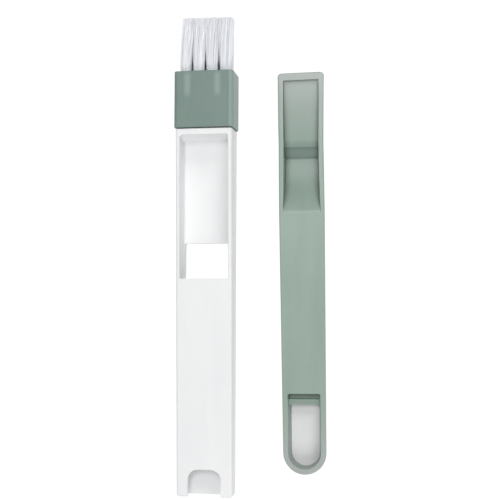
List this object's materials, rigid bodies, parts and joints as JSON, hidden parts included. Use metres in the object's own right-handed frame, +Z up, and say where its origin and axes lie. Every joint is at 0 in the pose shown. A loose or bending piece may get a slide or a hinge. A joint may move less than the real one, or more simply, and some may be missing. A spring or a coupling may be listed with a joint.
{
  "type": "groove cleaning brush with stored dustpan",
  "caption": "Narrow groove cleaning brush: square bristle head on a hollow tapered handle with a recess and window, beside the slim dustpan that stores inside it.",
  "frame": {"origin": "on the surface that both pieces lie on, under the middle of the pair's box", "axes": "+Y along the brush towards its bristles, +Z up out of the surface, +X from the brush towards the dustpan"},
  "size_m": [0.07, 0.2232, 0.0163],
  "materials": {
    "white_plastic": "injection moulded white polypropylene, satin",
    "sage_plastic": "injection moulded sage green plastic, satin",
    "sage_plastic_light": "injection moulded sage green plastic, fine matt",
    "white_filament": "extruded white nylon filament",
    "anchor_steel": "flat drawn wire"
  },
  "bodies": {
    "brush": {"handle_shell": "white_plastic", "brush_head": "sage_plastic", "tuft_1": "white_filament", "tuft_2": "white_filament", "tuft_3": "white_filament", "tuft_4": "white_filament", "tuft_5": "white_filament", "tuft_6": "white_filament", "tuft_7": "white_filament", "tuft_8": "white_filament", "anchor_1": "anchor_steel", "anchor_2": "anchor_steel", "anchor_3": "anchor_steel", "anchor_4": "anchor_steel", "anchor_5": "anchor_steel", "anchor_6": "anchor_steel", "anchor_7": "anchor_steel", "anchor_8": "anchor_steel"},
    "dustpan": {"dustpan": "sage_plastic_light"}
  },
  "joints": [
    {"name": "dustpan_lift", "type": "slide", "parent": "brush", "child": "dustpan", "axis": [0, 0, 1], "range_m": [0, 0.06]}
  ]
}
